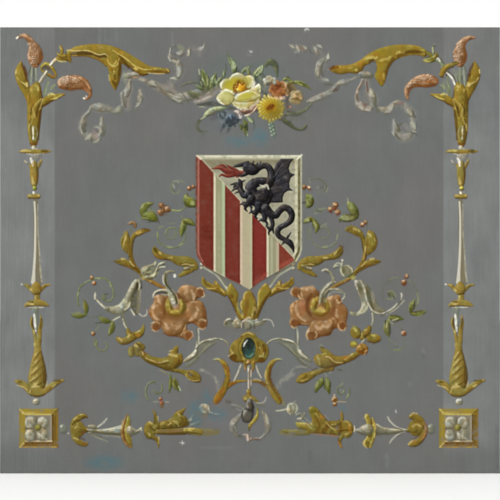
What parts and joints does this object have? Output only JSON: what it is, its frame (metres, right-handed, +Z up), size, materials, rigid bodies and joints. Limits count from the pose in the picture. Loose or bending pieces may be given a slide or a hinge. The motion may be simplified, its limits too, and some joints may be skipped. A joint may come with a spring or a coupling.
{
  "type": "painted wall panel",
  "caption": "Flat wooden wall panel painted in oil with a heraldic shield, scrollwork, a bouquet and candelabra borders.",
  "frame": {"origin": "middle of the flat back face, where the board is fixed to the wall", "axes": "+X to the right of someone facing the painted side, +Y from the painted face through the back into the wall, +Z up"},
  "size_m": [1, 0.016, 0.892],
  "materials": {
    "painted_wood": "aged grey oil paint, satin, brushed along the grain, with ochre, white, green, copper, red and black ornament"
  },
  "bodies": {
    "root": {"painted_board": "painted_wood"}
  },
  "joints": []
}
